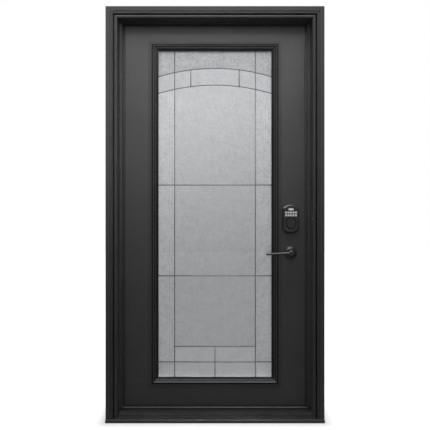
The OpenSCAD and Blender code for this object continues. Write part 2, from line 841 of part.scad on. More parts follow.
// H-section came: two flanges and the web that parts the glass
module came() color([0.25, 0.25, 0.26]) {
    through_y(deco_y - came_flange, deco_y) flange_lines();
    through_y(deco_y - came_flange / 2, deco_y + deco_t + came_flange / 2) intersection() {
        came_lines(came_web);
        sheet(spacer_w + 0.5);
    }
    through_y(deco_y + deco_t, deco_y + deco_t + came_flange) flange_lines();
}

module flange_lines() intersection() {
    came_lines(came_w);
    sheet(spacer_w + 0.5);
}

// Pieces of patterned glass, parted by the web of the came
module glass_decorative() color([0.75, 0.78, 0.8, 0.6]) through_y(deco_y, deco_y + deco_t) difference() {
    sheet(1);
    came_lines(came_web + 2 * seat_gap);
}

// Screws through the face plate of the latch or the deadbolt
module face_screws(z, grow) for (dz = [-face_screw_z, face_screw_z])
    translate([slab_half, slab_mid, z + dz]) rotate([0, -90, 0]) {
        cylinder(r1 = 2 * face_screw_r + grow, r2 = face_screw_r + grow, h = face_screw_r);
        cylinder(r = face_screw_r + grow, h = face_screw_l + grow);
    }

// Two screws that clamp the roses together through the slab
module rose_screws(grow, open) for (dz = [-rose_screw_off, rose_screw_off]) {
    rod_y(rose_screw_r + grow, sleeve_d / 3, slab_t + rose_rim, lock_x, lever_z + dz);
    rod_y(rose_screw_head + grow, slab_t + rose_rim, slab_t + rose_top + open, lock_x, lever_z + dz);
}

module door_screws() color(steel) {
    leaf_screws(1, 0);
    lite_screws(0, 0);
    for (z = [lever_z, bolt_z]) face_screws(z, 0);
    rose_screws(0, 0);
}

// Legs of the sweep, pushed up into kerfs in the bottom rail
module sweep_legs(grow, half) for (y = sweep_kerf_ys)
    block([-half + hinge_stile_w - grow, y - sweep_leg_w / 2 - grow, slab_z - cut],
          [half - lock_stile_w + grow, y + sweep_leg_w / 2 + grow, slab_z + sweep_leg_h + grow]);

// Vinyl sweep with three fins that brush the sill cap
module door_sweep() color(rubber) {
    inset = 2;
    base_t = 1.2;
    fin_w = 3;
    tip = cap_h + move_gap;
    along_x(-slab_half + inset, slab_half - inset) {
        translate([inset, slab_z - base_t]) square([slab_t - 2 * inset, base_t]);
        for (y = [6, slab_mid, slab_t - 6]) polygon([
            [y - fin_w, slab_z - base_t],
            [y - 0.5, tip],
            [y + 0.5, tip],
            [y + fin_w, slab_z - base_t]
        ]);
    }
    sweep_legs(0, slab_half - seat_gap);
}

// Case of a tubular lock: face plate, tube in the edge bore and a box round the operating hub
module lock_case(z) {
    block([slab_half - face_plate_t, slab_mid - face_plate_w / 2, z - face_plate_h / 2],
          [slab_half, slab_mid + face_plate_w / 2, z + face_plate_h / 2]);
    rod_x(case_r, lock_x + case_box_in - cut, slab_half - face_plate_t / 2, slab_mid, z);
    block([lock_x - case_box_in, slab_mid - case_box_t / 2, z - case_box_h / 2],
          [lock_x + case_box_in, slab_mid + case_box_t / 2, z + case_box_h / 2]);
}

module latch_case() color(steel) difference() {
    half_t = latch_t / 2 + move_gap;
    half_h = latch_h / 2 + move_gap;
    lock_case(lever_z);
    block([slab_half - latch_tail - latch_throw - 1, slab_mid - half_t, lever_z - half_h],
          [slab_half + cut, slab_mid + half_t, lever_z + half_h]);
    rod_y(hub_hole_r, 0, slab_t, lock_x, lever_z);
    face_screws(lever_z, seat_gap);
}

module deadbolt_case() color(steel) difference() {
    lock_case(bolt_z);
    rod_x(bolt_r + move_gap, slab_half - bolt_tail - 1, slab_half + cut, slab_mid, bolt_z);
    rod_y(hub_hole_r, 0, slab_t, lock_x, bolt_z);
    face_screws(bolt_z, seat_gap);
}

// Spring bolt, bevelled on the side that meets the strike first
module latch_bolt() color(steel) along_z(lever_z - latch_h / 2, lever_z + latch_h / 2) polygon([
    [slab_half - latch_tail, slab_mid - latch_t / 2],
    [slab_half + 1.5, slab_mid - latch_t / 2],
    [slab_half + latch_throw, slab_mid + latch_t / 4],
    [slab_half + latch_throw, slab_mid + latch_t / 2],
    [slab_half - latch_tail, slab_mid + latch_t / 2]
]);

module deadbolt() color(steel) {
    edge = 1.5;
    rod_x(bolt_r, slab_half - bolt_tail, slab_half - edge, slab_mid, bolt_z);
    translate([slab_half - edge, slab_mid, bolt_z]) rotate([0, 90, 0])
        cylinder(r1 = bolt_r, r2 = bolt_r - edge, h = edge);
}

// Stepped rose, turned, with a sleeve that seats in the bore through the slab
module rose() translate([lock_x, 0, lever_z]) rotate([90, 0, 0]) rotate_extrude()
    polygon([
        [neck_r + run_gap, 0],
        [neck_r + run_gap, rose_step],
        [rose_step_r - 2, rose_step],
        [rose_step_r, rose_step - 0.8],
        [rose_r - 8, rose_top - 0.8],
        [rose_r - 6.5, rose_rim + 1.2],
        [rose_r - 1.5, rose_rim],
        [rose_r, rose_rim - 2],
        [rose_r, 0],
        [sleeve_r, 0],
        [sleeve_r, -sleeve_d],
        [sleeve_r - sleeve_wall, -sleeve_d],
        [sleeve_r - sleeve_wall, 0]
    ]);

module rose_exterior() color(black) difference() {
    rose();
    rose_screws(seat_gap, rose_step);
}

module rose_interior() color(black) difference() {
    inside_out() rose();
    rose_screws(seat_gap, rose_step);
}

// A point along the lever's grip, t from 0 at the hub to 1 at the tip, and its half sizes there
function grip_at(t) = [lock_x - t * (lever_l - grip_end[0]), -(hub_out - hub_len / 2 + 3 * sin(180 * t)),
    lever_z - tip_drop * t * t];
function grip_size(t) = grip_start + (grip_end - grip_start) * t;

// Lever handle: neck and hub turned, grip swept through tapering rounds
module lever() difference() {
    union() {
        rod_y(neck_r, -hub_out + hub_len / 2, -1, lock_x, lever_z);
        translate([lock_x, 0, lever_z]) rotate([90, 0, 0]) rotate_extrude() polygon([
            [0, hub_out - hub_len],
            [neck_r, hub_out - hub_len - 2],
            [hub_r, hub_out - hub_len + 2],
            [hub_r, hub_out - 2.5],
            [hub_r - 2.5, hub_out],
            [0, hub_out]
        ]);
        for (i = [0:grip_steps - 1]) hull() for (t = [i / grip_steps, (i + 1) / grip_steps])
            translate(grip_at(t)) resize([2 * grip_size(t)[0], 2 * grip_size(t)[0], 2 * grip_size(t)[1]])
                sphere(r = 1, $fn = 24);
    }
    half = spindle_w / 2 + seat_gap;
    block([lock_x - half, -hub_out + hub_len, lever_z - half], [lock_x + half, 0, lever_z + half]);
}

module lever_exterior() color(black) lever();
module lever_interior() color(black) inside_out() lever();

module lever_spindle() color(steel) {
    half = spindle_w / 2;
    reach = hub_out - hub_len - seat_gap;
    block([lock_x - half, -reach, lever_z - half], [lock_x + half, slab_t + reach, lever_z + half]);
}

// Outline of the escutcheon: straight sides, arched top and bottom; inset draws it smaller
module plate_outline(inset) {
    half = plate_w / 2 - inset;
    arch_rad = (half * half + plate_arch * plate_arch) / (2 * plate_arch);
    high = bolt_z + plate_up - inset;
    low = bolt_z - plate_down + inset;
    intersection() {
        translate([lock_x - half, low]) square([2 * half, high - low]);
        union() {
            translate([lock_x, high - arch_rad]) circle(arch_rad, $fn = 96);
            translate([lock_x - plate_w, low]) square([2 * plate_w, high - plate_arch - low]);
        }
        union() {
            translate([lock_x, low + arch_rad]) circle(arch_rad, $fn = 96);
            translate([lock_x - plate_w, low + plate_arch]) square([2 * plate_w, high - low]);
        }
    }
}

// Place of each number key: five in each of two rows
function key_place(i) = [lock_x + (i % 5 - 2) * key_pitch_x, key_row_z + (i < 5 ? 0.5 : -0.5) * key_pitch_z];

// Rounded square of a number key and rounded bar of the lock key, from y0 to y1
module key_form(i, y0, y1, grow) {
    p = key_place(i);
    half = key_s / 2 + grow;
    intersection() {
        block([p.x - half, y0, p.y - half], [p.x + half, y1, p.y + half]);
        rod_y(key_corner_r + grow, y0, y1, p.x, p.y);
    }
}

module lock_key_form(y0, y1, grow) {
    r = lock_key_h / 2 + grow;
    off = (lock_key_w - lock_key_h) / 2;
    for (s = [-1, 1]) rod_y(r, y0, y1, lock_x + s * off, lock_key_z);
    block([lock_x - off, y0, lock_key_z - r], [lock_x + off, y1, lock_key_z + r]);
}

// Keypad escutcheon: bevelled housing with key pockets and a sunk ring round the key cylinder
module lock_escutcheon() color(black) difference() {
    hull() {
        through_y(plate_front + plate_bevel, 0) plate_outline(0);
        through_y(plate_front, 0) plate_outline(plate_bevel);
    }
    pocket = key_front + key_l + key_travel + move_gap;
    for (i = [0:9]) key_form(i, plate_front - cut, pocket, move_gap);
    lock_key_form(plate_front - cut, pocket, move_gap);
    rod_y(cylinder_recess_r, plate_front - cut, plate_front + cylinder_recess_d, lock_x, bolt_z);
    rod_y(cylinder_tail_r + seat_gap, plate_front, cut, lock_x, bolt_z);
}

// Key cylinder: coned collar in the recess, with its tail through the escutcheon
module key_cylinder() color(steel) difference() {
    seat = plate_front + cylinder_recess_d;
    union() {
        translate([lock_x, seat, bolt_z]) rotate([90, 0, 0])
            cylinder(r1 = cylinder_base_r, r2 = cylinder_face_r, h = cylinder_recess_d + cylinder_out);
        rod_y(cylinder_tail_r, seat - cut, 8, lock_x, bolt_z);
    }
    rod_y(plug_r + run_gap, plate_front - 2 * cylinder_out, 8 + cut, lock_x, bolt_z);
}

module key_plug() color([0.5, 0.5, 0.5]) {
    front = plate_front - cylinder_out - plug_out;
    difference() {
        rod_y(plug_r, front, 0, lock_x, bolt_z);
        block([lock_x - keyway_w / 2, front - cut, bolt_z - keyway_h / 2],
              [lock_x + keyway_w / 2, front + keyway_d, bolt_z + keyway_h / 2]);
    }
}

// Cover of the thumb turn on the inside: a hollow housing with the escutcheon's outline
module lock_cover() color(black) difference() {
    hull() {
        through_y(slab_t, slab_t + cover_d - plate_bevel) plate_outline(0);
        through_y(slab_t, slab_t + cover_d) plate_outline(plate_bevel);
    }
    through_y(slab_t - cut, slab_t + cover_d - plate_bevel - cover_wall) plate_outline(cover_wall);
    rod_y(turn_hub_r + run_gap, slab_t, slab_t + cover_d + cut, lock_x, bolt_z);
}

// Thumb turn: round hub and an upright paddle with round ends
module thumb_turn() color(black) difference() {
    face = slab_t + cover_d;
    off = (turn_l - turn_w) / 2;
    union() {
        rod_y(turn_hub_r, face - plate_bevel - cover_wall - 4, face + 4, lock_x, bolt_z);
        for (s = [-1, 1]) rod_y(turn_w / 2, face + 2, face + turn_d, lock_x, bolt_z + s * off);
        block([lock_x - turn_w / 2, face + 2, bolt_z - off],
              [lock_x + turn_w / 2, face + turn_d, bolt_z + off]);
    }
    block([lock_x - blade_t / 2 - seat_gap, slab_t, bolt_z - blade_w / 2 - seat_gap],
          [lock_x + blade_t / 2 + seat_gap, face - 2, bolt_z + blade_w / 2 + seat_gap]);
}

// Flat blade that carries the thumb turn's motion to the deadbolt
module torque_blade() color(steel) block(
    [lock_x - blade_t / 2, 4.5, bolt_z - blade_w / 2],
    [lock_x + blade_t / 2, slab_t + cover_d - 2 - seat_gap, bolt_z + blade_w / 2]);

module number_key(i) color(key_white) key_form(i, key_front, key_front + key_l, 0);
module lock_key() color(key_white) lock_key_form(key_front, key_front + key_l, 0);

jamb_hinge_side();
jamb_strike_side();
jamb_head();
brickmould_left();
brickmould_right();
brickmould_head();
weatherstrip_hinge_side();
weatherstrip_strike_side();
weatherstrip_head();
sill_deck();
sill_core();
sill_cap();
latch_strike();
deadbolt_strike();
hinge_frame_leaves();
hinge_pins();
frame_screws();
skin_exterior();
skin_interior();
hinge_stile();
lock_stile();
top_rail();
bottom_rail();
foam_core();
lite_frame_exterior();
lite_frame_interior();
glass_exterior();
glass_decorative();
glass_interior();
came();
glass_spacers();
hinge_door_leaves();
door_screws();
door_sweep();
latch_case();
deadbolt_case();
rose_exterior();
rose_interior();
lock_escutcheon();
key_cylinder();
lock_cover();
lever_exterior();
lever_interior();
lever_spindle();
latch_bolt();
deadbolt();
thumb_turn();
torque_blade();
key_plug();
number_key(0);  // key_1
number_key(1);  // key_2
number_key(2);  // key_3
number_key(3);  // key_4
number_key(4);  // key_5
number_key(5);  // key_6
number_key(6);  // key_7
number_key(7);  // key_8
number_key(8);  // key_9
number_key(9);  // key_0
lock_key();
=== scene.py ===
import math

import bpy
import numpy as np
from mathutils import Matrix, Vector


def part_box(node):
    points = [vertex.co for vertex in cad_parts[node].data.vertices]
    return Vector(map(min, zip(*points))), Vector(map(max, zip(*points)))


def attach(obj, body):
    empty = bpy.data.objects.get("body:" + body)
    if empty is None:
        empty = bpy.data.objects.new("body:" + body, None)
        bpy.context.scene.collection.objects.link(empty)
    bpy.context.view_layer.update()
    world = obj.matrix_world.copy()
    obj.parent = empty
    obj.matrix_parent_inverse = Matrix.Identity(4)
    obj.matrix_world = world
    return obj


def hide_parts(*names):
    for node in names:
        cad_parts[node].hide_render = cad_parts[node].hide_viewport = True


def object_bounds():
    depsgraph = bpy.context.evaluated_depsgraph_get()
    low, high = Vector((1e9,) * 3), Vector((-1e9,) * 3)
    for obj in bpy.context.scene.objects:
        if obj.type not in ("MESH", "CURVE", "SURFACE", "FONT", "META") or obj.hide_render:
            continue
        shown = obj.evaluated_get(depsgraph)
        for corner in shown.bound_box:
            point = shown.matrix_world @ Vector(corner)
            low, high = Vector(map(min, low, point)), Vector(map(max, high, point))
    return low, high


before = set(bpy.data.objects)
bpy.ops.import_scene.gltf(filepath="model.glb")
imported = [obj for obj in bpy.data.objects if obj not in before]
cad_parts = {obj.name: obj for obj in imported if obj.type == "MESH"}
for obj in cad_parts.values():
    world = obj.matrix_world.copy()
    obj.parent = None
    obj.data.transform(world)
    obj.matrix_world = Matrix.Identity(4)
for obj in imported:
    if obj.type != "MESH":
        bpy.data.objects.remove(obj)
cad_low, cad_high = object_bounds()
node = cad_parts

# Frame: jambs and head are laminated timber with a rolled bead and a stop, and brickmould is nailed round
# them outside. All of it is sprayed with the same satin black, which leaves a faint orange peel.


def feed(tree, socket, value):
    """Link an output to a socket, or set the socket to a plain value; a colour comes without its alpha."""
    if isinstance(value, bpy.types.NodeSocket):
        tree.links.new(value, socket)
    elif isinstance(value, tuple):
        socket.default_value = (*value, 1)
    else:
        socket.default_value = value


def math_node(tree, operation, a, b=0.0, c=0.0):
    """One sum on numbers that change over the surface."""
    n = tree.nodes.new("ShaderNodeMath")
    n.operation = operation
    for socket, value in zip(n.inputs, (a, b, c)):
        feed(tree, socket, value)
    return n.outputs[0]


def blend_colour(tree, factor, a, b):
    """Colour a where the factor is 0, turning to colour b where it is 1."""
    n = tree.nodes.new("ShaderNodeMix")
    n.data_type = "RGBA"
    feed(tree, n.inputs["Factor"], factor)
    feed(tree, n.inputs["A"], a)
    feed(tree, n.inputs["B"], b)
    return n.outputs["Result"]


def spread(tree, value, low, high, to_low=0.0, to_high=1.0):
    """Stretch a value from one span to another, held at its ends."""
    n = tree.nodes.new("ShaderNodeMapRange")
    span = {"Value": value, "From Min": low, "From Max": high, "To Min": to_low, "To Max": to_high}
    for label, end in span.items():
        feed(tree, n.inputs[label], end)
    return n.outputs["Result"]


def vary(tree, pattern, low, high):
    """Turn noise, which lies mostly between 0.3 and 0.7, into a value that runs from low to high."""
    return spread(tree, pattern, 0.3, 0.7, low, high)


def place(tree, stretch=(1.0, 1.0, 1.0)):
    """The object's own coordinates in metres, stretched along each axis."""
    where = tree.nodes.new("ShaderNodeTexCoord")
    mapping = tree.nodes.new("ShaderNodeMapping")
    mapping.inputs["Scale"].default_value = stretch
    tree.links.new(where.outputs["Object"], mapping.inputs["Vector"])
    return mapping.outputs["Vector"]


def noise(tree, where, scale, detail=2.0, rough=0.5):
    """Even cloudy noise; scale is in lumps to the metre."""
    n = tree.nodes.new("ShaderNodeTexNoise")
    for label, value in (("Vector", where), ("Scale", scale), ("Detail", detail), ("Roughness", rough)):
        feed(tree, n.inputs[label], value)
    return n.outputs["Fac"]


def group_tree(name, **inputs):
    """An empty shader group with the given inputs, which puts out a colour, a roughness and a height."""
    tree = bpy.data.node_groups.new(name, "ShaderNodeTree")
    for label, kind in inputs.items():
        tree.interface.new_socket(label, in_out="INPUT", socket_type="NodeSocket" + kind)
    for label, kind in (("Color", "Color"), ("Roughness", "Float"), ("Height", "Float")):
        tree.interface.new_socket(label, in_out="OUTPUT", socket_type="NodeSocket" + kind)
    return tree, tree.nodes.new("NodeGroupInput").outputs, tree.nodes.new("NodeGroupOutput").inputs


def put_out(tree, result, colour, roughness, height):
    """Link what a group has worked out to its three outputs."""
    for socket, value in zip(result, (colour, roughness, height)):
        feed(tree, socket, value)


def finish(name, specular, **plain):
    """A new material with its Principled shader; plain values go on the shader's own sockets."""
    mat = bpy.data.materials.new(name)
    mat.use_nodes = True
    tree = mat.node_tree
    shader = tree.nodes["Principled BSDF"]
    shader.inputs["Specular IOR Level"].default_value = specular
    for label, value in plain.items():
        feed(tree, shader.inputs[label.replace("_", " ")], value)
    return mat, tree, shader


def place_group(tree, group, **values):
    """A shader group in a material, with its own values; gives its colour, roughness and height."""
    n = tree.nodes.new("ShaderNodeGroup")
    n.node_tree = group
    for label, value in values.items():
        feed(tree, n.inputs[label], value)
    return [n.outputs[label] for label in ("Color", "Roughness", "Height")]


def surface(tree, shader, colour, roughness, height, depth, strength):
    """Link a shader's colour, roughness and fine relief; the relief's depth is in metres."""
    relief = tree.nodes.new("ShaderNodeBump")
    relief.inputs["Strength"].default_value = strength
    relief.inputs["Distance"].default_value = depth
    feed(tree, relief.inputs["Height"], height)
    feed(tree, shader.inputs["Base Color"], colour)
    feed(tree, shader.inputs["Roughness"], roughness)
    feed(tree, shader.inputs["Normal"], relief.outputs["Normal"])


def dress(mat, *names):
    """Give CAD nodes a material."""
    for name in names:
        for slot in node[name].material_slots:
            slot.material = mat


# Satin paint: two close tones drift over a hand's length, and the orange peel is about two millimetres across
drift_scale, fleck_scale, haze_scale = 5.0, 420.0, 34.0
drift_share = 0.65
satin_paint, given, result = group_tree(
    "satin_paint", Deep="Color", Pale="Color", Gloss="Float", Peel="Float")
spot = place(satin_paint)
drift = vary(satin_paint, noise(satin_paint, spot, drift_scale, detail=4.0, rough=0.6), 0.0, 1.0)
specks = noise(satin_paint, spot, fleck_scale, detail=3.0, rough=0.7)
fleck = spread(satin_paint, specks, 0.35, 0.75, to_high=1 - drift_share)
haze = vary(satin_paint, noise(satin_paint, spot, haze_scale, detail=3.0), -0.04, 0.05)
tone = math_node(satin_paint, "MULTIPLY_ADD", drift, drift_share, fleck)
put_out(
    satin_paint, result,
    colour=blend_colour(satin_paint, tone, given["Deep"], given["Pale"]),
    roughness=math_node(satin_paint, "ADD", given["Gloss"], haze),
    height=noise(satin_paint, spot, given["Peel"], detail=2.0, rough=0.4))


def painted(name, deep, pale, gloss, peel, depth, specular):
    """A material of satin paint; the peel is in lumps to the metre and its depth in metres."""
    mat, tree, shader = finish(name, specular)
    coat = place_group(tree, satin_paint, Deep=deep, Pale=pale, Gloss=gloss, Peel=peel)
    surface(tree, shader, *coat, depth=depth, strength=0.6)
    return mat


frame_black = painted(
    "frame_black", deep=(0.064, 0.064, 0.0645), pale=(0.0835, 0.0835, 0.0845),
    gloss=0.42, peel=520.0, depth=0.00006, specular=0.01)
dress(frame_black, "jamb_hinge_side", "jamb_strike_side", "jamb_head")
dress(frame_black, "brickmould_left", "brickmould_right", "brickmould_head")

# Weatherstrip: a foam bulb in a thin vinyl skin, pushed into a kerf in the stop all round the opening.
# The sweep under the door is the same vinyl, with fins that brush the sill cap.

vinyl, tree, shader = finish("vinyl", specular=0.12)
spot = place(tree)
pores = noise(tree, spot, 900.0, detail=3.0, rough=0.7)
scuff = noise(tree, spot, 40.0)
surface(
    tree, shader,
    colour=blend_colour(tree, pores, (0.008, 0.008, 0.0085), (0.018, 0.018, 0.019)),
    roughness=vary(tree, scuff, 0.55, 0.72),
    height=pores, depth=0.0001, strength=0.5)
dress(vinyl, "weatherstrip_hinge_side", "weatherstrip_strike_side", "weatherstrip_head", "door_sweep")

# Sill: an extruded deck of black anodised aluminium on a composite core, with a moulded cap under the door.
# The extrusion leaves fine lines along its length.

line_stretch = (3.0, 900.0, 900.0)
drawn_lines, given, result = group_tree("drawn_lines", Deep="Color", Pale="Color", Gloss="Float")
lines = noise(drawn_lines, place(drawn_lines, line_stretch), 1.0, detail=3.0, rough=0.6)
cloud = noise(drawn_lines, place(drawn_lines), 14.0, detail=4.0, rough=0.6)
tone = spread(drawn_lines, math_node(drawn_lines, "MULTIPLY", lines, cloud), 0.12, 0.4)
sheen = vary(drawn_lines, lines, -0.06, 0.06)
put_out(
    drawn_lines, result,
    colour=blend_colour(drawn_lines, tone, given["Deep"], given["Pale"]),
    roughness=math_node(drawn_lines, "ADD", given["Gloss"], sheen),
    height=lines)


def drawn_metal(name, deep, pale, gloss, depth, specular, metallic):
    """A material of metal with fine lines along X, as a die or a brush leaves them."""
    mat, tree, shader = finish(name, specular, Metallic=metallic)
    metal = place_group(tree, drawn_lines, Deep=deep, Pale=pale, Gloss=gloss)
    surface(tree, shader, *metal, depth=depth, strength=0.5)
    return mat


def cells(tree, where, scale, feature="F1"):
    """Distance to the nearest of many scattered points; scale is in cells to the metre."""
    n = tree.nodes.new("ShaderNodeTexVoronoi")
    n.feature = feature
    feed(tree, n.inputs["Vector"], where)
    feed(tree, n.inputs["Scale"], scale)
    return n.outputs["Distance"]


anodised = drawn_metal(
    "anodised_black", deep=(0.034, 0.036, 0.038), pale=(0.062, 0.065, 0.068),
    gloss=0.42, depth=0.00008, specular=0.05, metallic=0.04)
dress(anodised, "sill_deck")

composite, tree, shader = finish("composite", specular=0.10)
spot = place(tree)
grit = cells(tree, spot, 700.0)
scuff = noise(tree, spot, 60.0)
surface(
    tree, shader,
    colour=blend_colour(tree, spread(tree, grit, 0.2, 0.7), (0.019, 0.020, 0.021), (0.036, 0.036, 0.038)),
    roughness=vary(tree, scuff, 0.42, 0.58),
    height=grit, depth=0.0001, strength=0.4)
dress(composite, "sill_core", "sill_cap")

# Slab: two skins of galvanised steel, folded round its upright edges, primed and painted satin black.
# They are glued to the core, and their paint is a little glossier than that of the frame.

slab_black = painted(
    "slab_black", deep=(0.052, 0.052, 0.0535), pale=(0.066, 0.0655, 0.0685),
    gloss=0.42, peel=460.0, depth=0.00007, specular=0.08)
dress(slab_black, "skin_exterior", "skin_interior")

# Core of the slab: stiles and rails of laminated softwood, and polyurethane foam blown in between them.
# Only the wood's edges show, in the gap between the folds and along the top and bottom.

along_grain = 0.06
ring_share, fibre_share = 0.7, 0.4


def timber(name, stretch):
    """Softwood with its grain along the axis that is stretched least."""
    mat, tree, shader = finish(name, specular=0.3)
    spot = place(tree, stretch)
    rings = tree.nodes.new("ShaderNodeTexWave")
    for label, value in (("Vector", spot), ("Scale", 26.0), ("Distortion", 5.0), ("Detail", 3.0)):
        feed(tree, rings.inputs[label], value)
    fibre = noise(tree, spot, 320.0, detail=4.0, rough=0.7)
    faint = math_node(tree, "MULTIPLY", fibre, fibre_share)
    grain = math_node(tree, "MULTIPLY_ADD", rings.outputs["Fac"], ring_share, faint)
    surface(
        tree, shader,
        colour=blend_colour(tree, grain, (0.56, 0.40, 0.22), (0.33, 0.19, 0.09)),
        roughness=vary(tree, fibre, 0.55, 0.75),
        height=grain, depth=0.0003, strength=0.5)
    return mat


dress(timber("stile_timber", (1.0, 1.0, along_grain)), "hinge_stile", "lock_stile")
dress(timber("rail_timber", (along_grain, 1.0, 1.0)), "top_rail", "bottom_rail")

foam, tree, shader = finish("foam", specular=0.2)
bubbles = cells(tree, place(tree), 450.0)
surface(
    tree, shader,
    colour=blend_colour(tree, bubbles, (0.80, 0.72, 0.50), (0.90, 0.84, 0.66)),
    roughness=spread(tree, bubbles, 0.0, 0.8, 0.75, 0.95),
    height=bubbles, depth=0.0006, strength=0.8)
dress(foam, "foam_core")

# Lite frames: moulded in two halves from glossy black plastic and drawn together by screws from inside.
# The flat and the ridge are painted with the door; the ridge's outer flank and the slope down to the glass
# keep the plastic's near black, which is also painted shade for the groove beside the ridge and for the slope.

lite_low, lite_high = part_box("lite_frame_exterior")
lite_half = [float(lite_high[i] - lite_low[i]) / 2 for i in (0, 2)]
lite_mid_z = float(lite_low[2] + lite_high[2]) / 2
flank_out, flank_in, slope_out = 0.0172, 0.0224, 0.0278
paint_edge = 0.0003
lite_paint = {"Deep": (0.044, 0.044, 0.045), "Pale": (0.057, 0.057, 0.059), "Gloss": 0.34, "Peel": 640.0}
lite_plastic_shade = {"Deep": (0.005, 0.005, 0.0052), "Pale": (0.010, 0.010, 0.0105), "Gloss": 0.30, "Peel": 300.0}
lite_specular, lite_peel_depth = 0.08, 0.00005

lite_black, tree, shader = finish("lite_black", specular=lite_specular)
axes = tree.nodes.new("ShaderNodeSeparateXYZ")
feed(tree, axes.inputs[0], place(tree))
from_mid = math_node(tree, "ABSOLUTE", math_node(tree, "SUBTRACT", axes.outputs["Z"], lite_mid_z))
from_end = math_node(tree, "SUBTRACT", lite_half[1], from_mid)
from_side = math_node(tree, "SUBTRACT", lite_half[0], math_node(tree, "ABSOLUTE", axes.outputs["X"]))
inset = math_node(tree, "MINIMUM", from_side, from_end)
past_flank_out, past_flank_in, past_slope_out = (
    spread(tree, inset, edge - paint_edge, edge + paint_edge) for edge in (flank_out, flank_in, slope_out))
# Painted shade: the flank band and the slope past slope_out take the bare plastic's near-black colour
flank_shade = math_node(tree, "SUBTRACT", past_flank_out, past_flank_in)
painted_shade_band = math_node(tree, "ADD", flank_shade, past_slope_out)
coat = place_group(tree, satin_paint, **lite_paint)
bare_shade = place_group(tree, satin_paint, **lite_plastic_shade)
surface(
    tree, shader,
    colour=blend_colour(tree, painted_shade_band, coat[0], bare_shade[0]), roughness=coat[1],
    height=coat[2], depth=lite_peel_depth, strength=0.6)
dress(lite_black, "lite_frame_exterior", "lite_frame_interior")

# Gaskets: a near-black cord laid in the groove round each lite frame, which is painted shade for the groove,
# and a thinner rubber gasket between its lip and the pane. Each runs round the opening in one length, mitred
# at the corners.

slab_back = float(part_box("skin_interior")[1][1])
groove_shade_cord = {"inset": 0.0168, "half_w": 0.0027, "half_d": 0.0016}
groove_shade_y = -0.0022
pane_cord = {"inset": 0.0482, "half_w": 0.0013, "half_d": 0.0014}
pane_y = 0.0056
round_steps = 20
corner_reach = 4


def unit(way):
    """Each row of an array drawn to length 1."""
    return way / np.linalg.norm(way, axis=1)[:, None]


def oval_loop(line, way, y, half_w, half_d):
    """An oval section carried round a closed line of x and z.

    Its width lies along the way out of the line, its depth along Y, and the last ring joins the first."""
    turn = np.linspace(0, 2 * np.pi, round_steps, endpoint=False)
    flat = line[:, None, :] + way[:, None, :] * (half_w * np.cos(turn))[None, :, None]
    deep = np.broadcast_to(y + half_d * np.sin(turn), flat.shape[:2])
    points = np.stack([flat[..., 0], deep, flat[..., 1]], -1).reshape(-1, 3)
    at = np.arange(len(points)).reshape(len(line), round_steps)
    after, step = np.roll(at, -1, axis=0), np.roll(at, -1, axis=1)
    return points, np.stack([at, step, np.roll(after, -1, axis=1), after], -1).reshape(-1, 4)


def lite_loop(inset, y, half_w, half_d):
    """An oval cord round the lite, an inset away from its frame's edge.

    Each corner has a mitred ring, whose way out is the diagonal, between two straight rings near it."""
    signs = np.array([[1, 1], [-1, 1], [-1, -1], [1, -1]], float)
    corner = signs * (np.array(lite_half) - inset) + np.array([0, lite_mid_z])
    heading = unit(np.roll(signs, -1, axis=0) - signs)
    outward = np.stack([heading[:, 1], -heading[:, 0]], -1)
    near = corner_reach * half_w * heading
    line = np.stack([corner, corner + near, np.roll(corner, -1, axis=0) - near], 1).reshape(-1, 2)
    way = np.stack([signs, outward, outward], 1).reshape(-1, 2)
    return oval_loop(line, way, y, half_w, half_d)


def lay_piece(name, parts, mat, body):
    """Join parts, each a pair of points and quads, into one piece that rides on a body."""
    starts = np.cumsum([0] + [len(points) for points, _ in parts])
    points = np.concatenate([points for points, _ in parts]).astype(np.float32)
    faces = np.concatenate([quads + start for (_, quads), start in zip(parts, starts)])
    mesh = bpy.data.meshes.new(name)
    mesh.from_pydata(points, [], faces.tolist())
    mesh.polygons.foreach_set("use_smooth", np.ones(len(faces), bool))
    mesh.update()
    mesh.materials.append(mat)
    piece = bpy.data.objects.new(name, mesh)
    bpy.context.scene.collection.objects.link(piece)
    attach(piece, body)
    return piece


# Near-black rubber: the pane gaskets' own colour, and painted shade in the groove cords and round the keypad
# cover
shade_rubber, tree, shader = finish("gasket_shade_rubber", specular=0.06)
bloom = noise(tree, place(tree), 300.0, detail=4.0, rough=0.6)
surface(
    tree, shader,
    colour=blend_colour(tree, bloom, (0.004, 0.004, 0.0042), (0.010, 0.010, 0.0105)),
    roughness=vary(tree, bloom, 0.6, 0.8),
    height=bloom, depth=0.0001, strength=0.4)
cords = [(groove_shade_y, groove_shade_cord), (pane_y, pane_cord)]
loops = [lite_loop(y=y, **cord) for y, cord in cords]
loops += [lite_loop(y=slab_back - y, **cord) for y, cord in cords]
lay_piece("lite_gaskets_and_shade", loops, shade_rubber, "door")

# Beads: a half-round plastic moulding pressed on the step of each lite frame's slope, mitred at the corners.
# It is rolled with the door's paint, and shows as a paler line on the black slope.

bead_cord = {"inset": 0.0353, "half_w": 0.0019, "half_d": 0.0014}
bead_y = -0.0032
bead_black, tree, shader = finish("bead_black", specular=lite_specular)
surface(tree, shader, *place_group(tree, satin_paint, **lite_paint), depth=lite_peel_depth, strength=0.6)
beads = [lite_loop(y=y, **bead_cord) for y in (bead_y, slab_back - bead_y)]
lay_piece("lite_beads", beads, bead_black, "door")

# Glazed unit: clear toughened panes outside and inside, with aluminium spacers between them and the
# patterned glass. Lamps are let through the clear panes to what they shut in.

